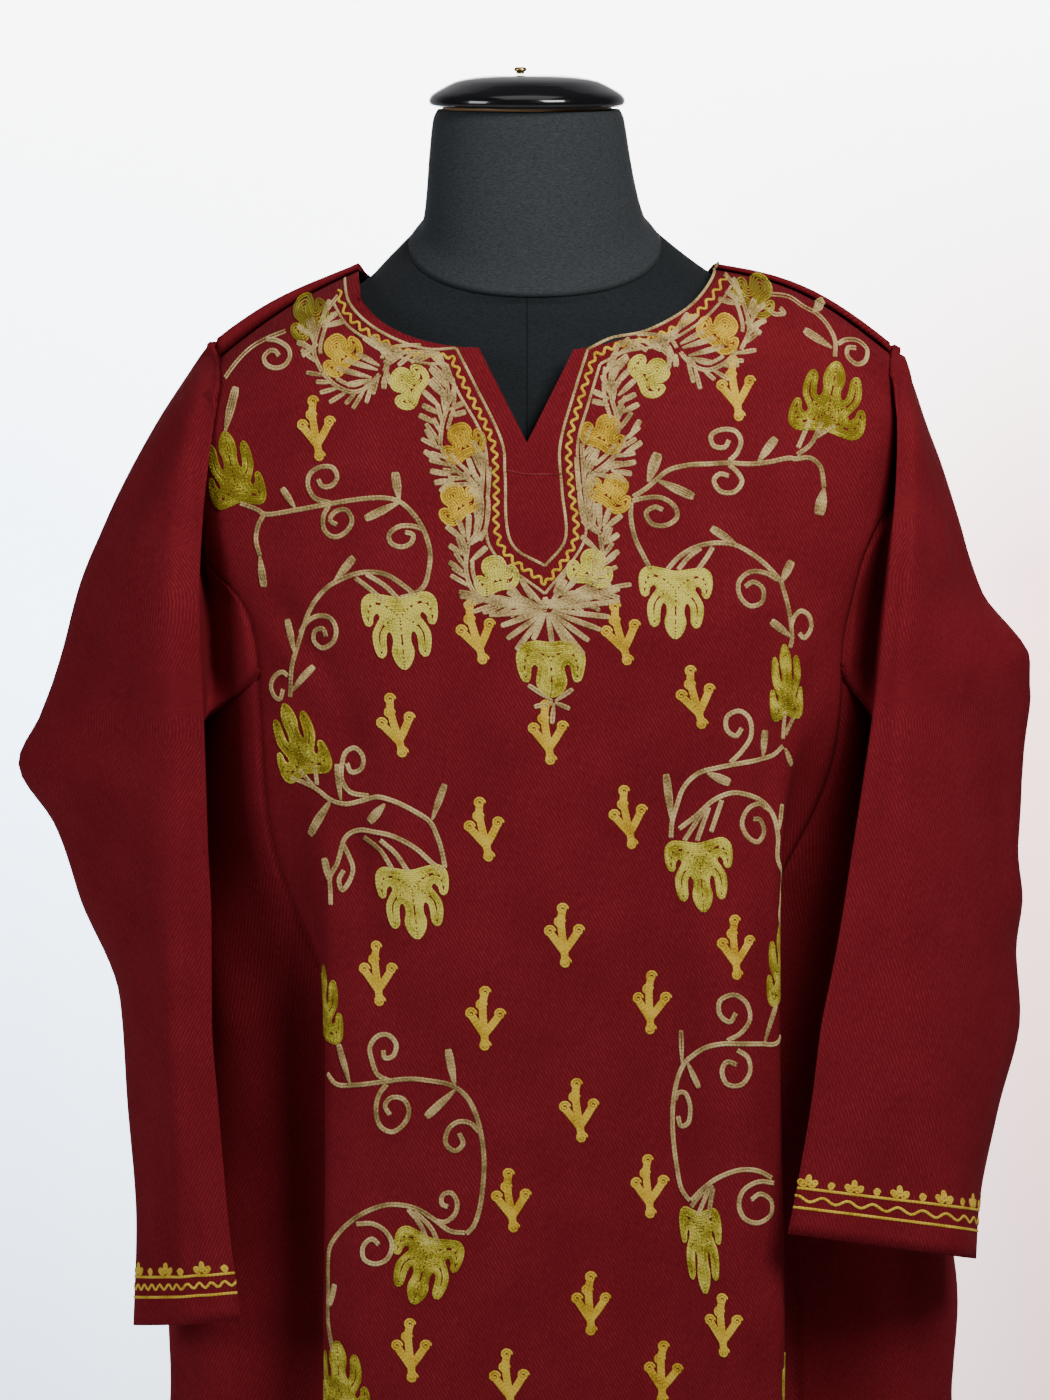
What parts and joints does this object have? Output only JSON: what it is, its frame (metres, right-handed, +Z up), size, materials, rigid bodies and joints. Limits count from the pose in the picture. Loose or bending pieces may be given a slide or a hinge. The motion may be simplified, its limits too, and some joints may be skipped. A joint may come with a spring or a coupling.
{
  "type": "pheran on dress form",
  "caption": "Knee-length wool pheran with long hanging sleeves, a slit neckline and embroidered front, worn by a limbless dress form on a pole stand.",
  "frame": {"origin": "centre of the underside of the round base, on the floor", "axes": "+Z up along the pole, -Y out of the front of the garment, +X towards the right of a viewer who faces the front"},
  "size_m": [0.6252, 0.39, 1.528],
  "materials": {
    "wool": "fine wool twill, matt",
    "form_jersey": "matt black knitted cover",
    "cap_plate": "bare board edge",
    "cap_gloss": "gloss black",
    "cap_brass": "polished",
    "stand_steel": "black satin paint",
    "stand_base": "black matt paint"
  },
  "bodies": {
    "root": {"front_panel": "wool", "back_panel": "wool", "side_gore_left": "wool", "side_gore_right": "wool", "sleeve_left": "wool", "sleeve_right": "wool", "form_torso": "form_jersey", "form_neck": "form_jersey", "neck_plate": "cap_plate", "neck_cap": "cap_gloss", "cap_peg": "cap_brass", "stand_pole": "stand_steel", "stand_base": "stand_base"}
  },
  "joints": []
}
